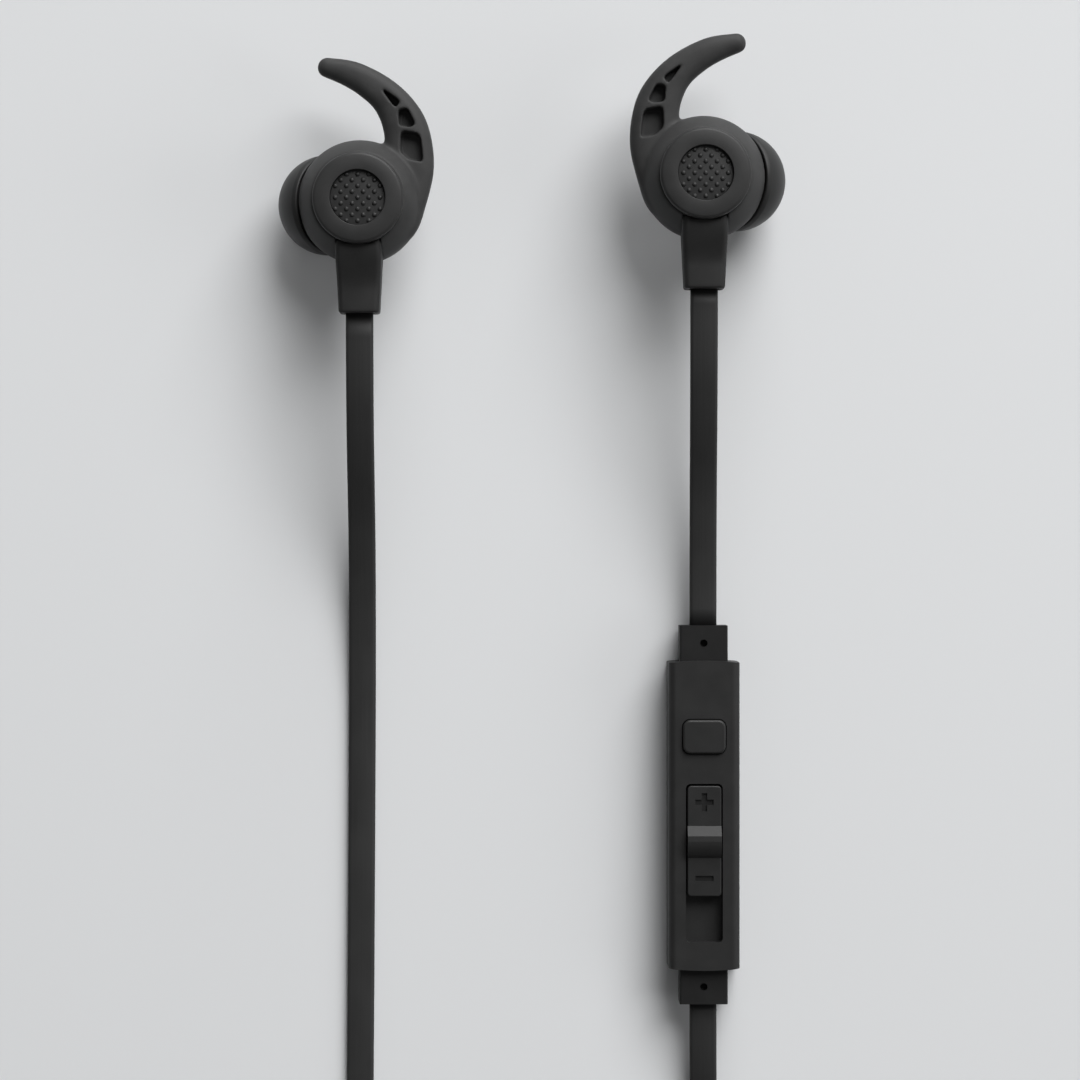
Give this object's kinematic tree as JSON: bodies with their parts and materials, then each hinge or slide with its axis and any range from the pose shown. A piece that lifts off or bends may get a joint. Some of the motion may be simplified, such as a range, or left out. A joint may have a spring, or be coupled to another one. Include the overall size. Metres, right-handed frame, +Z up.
{
  "type": "wired earphones",
  "caption": "Wired in-ear sport earphones with ear wings, flat cables, an in-line remote with a push button and a volume slider, and a stereo plug.",
  "frame": {"origin": "on the table, below the middle of the box around the two earbuds and the remote, without the free cable", "axes": "+X to the object's right, towards the earbud whose cable carries the remote; +Y from the remote towards the earbuds; +Z up from the table, out of the earbuds' round faces"},
  "size_m": [0.0652, 0.2673, 0.0158],
  "materials": {
    "housing_plastic": "fine-textured moulded plastic, matte",
    "textured_insert": "dark insert with a diamond field of small studs",
    "inner_plastic": "plain black moulding",
    "magnet_steel": "plated steel cup",
    "film": "thin translucent film",
    "mesh_steel": "fine steel mesh and stamped steel",
    "tip_silicone": "matte silicone",
    "sleeve_silicone": "matte silicone, slightly lighter",
    "boot_rubber": "matte elastomer moulding",
    "cable_jacket": "matte flat elastomer jacket",
    "remote_plastic": "fine-textured moulded plastic, matte",
    "control_plastic": "smooth matte moulded plastic",
    "circuit_board": "solder-masked board",
    "plated_contact": "gold-plated contact"
  },
  "bodies": {
    "earphones": {"cable_coil": "cable_jacket", "left_boot": "boot_rubber", "left_cable": "cable_jacket", "left_driver_diaphragm": "film", "left_driver_frame": "inner_plastic", "left_driver_magnet": "magnet_steel", "left_face_ring": "housing_plastic", "left_front_shell": "housing_plastic", "left_nozzle_mesh": "mesh_steel", "left_rear_shell": "housing_plastic", "left_stud_disc": "textured_insert", "left_wing_sleeve": "sleeve_silicone", "main_cable": "cable_jacket", "microphone_capsule": "mesh_steel", "plug_first_ring": "plated_contact", "plug_handle": "boot_rubber", "plug_insulators": "inner_plastic", "plug_second_ring": "plated_contact", "plug_sleeve_contact": "plated_contact", "plug_tip_contact": "plated_contact", "potentiometer_track": "inner_plastic", "remote_back_shell": "remote_plastic", "remote_circuit_board": "circuit_board", "remote_front_shell": "remote_plastic", "remote_lower_collar": "boot_rubber", "remote_upper_collar": "boot_rubber", "right_boot": "boot_rubber", "right_cable_lower": "cable_jacket", "right_cable_upper": "cable_jacket", "right_driver_diaphragm": "film", "right_driver_frame": "inner_plastic", "right_driver_magnet": "magnet_steel", "right_face_ring": "housing_plastic", "right_front_shell": "housing_plastic", "right_nozzle_mesh": "mesh_steel", "right_rear_shell": "housing_plastic", "right_stud_disc": "textured_insert", "right_wing_sleeve": "sleeve_silicone", "tactile_switch": "mesh_steel", "y_splitter": "boot_rubber"},
    "button": {"function_button": "control_plastic"},
    "slider": {"volume_slider": "control_plastic", "potentiometer_wiper": "inner_plastic"},
    "left_tip": {"left_ear_tip": "tip_silicone"},
    "right_tip": {"right_ear_tip": "tip_silicone"}
  },
  "joints": [
    {"name": "button_press", "type": "slide", "parent": "earphones", "child": "button", "axis": [0, 0, -1], "range_m": [0, 0.0003], "stiffness_N_per_m": 500, "springref_m": -0.001},
    {"name": "volume_slide", "type": "slide", "parent": "earphones", "child": "slider", "axis": [0, -1, 0], "range_m": [0, 0.00575]},
    {"name": "left_tip_pull", "type": "slide", "parent": "earphones", "child": "left_tip", "axis": [-0.7547, 0, -0.6561], "range_m": [0, 0.004]},
    {"name": "right_tip_pull", "type": "slide", "parent": "earphones", "child": "right_tip", "axis": [0.7547, 0, -0.6561], "range_m": [0, 0.004]}
  ]
}
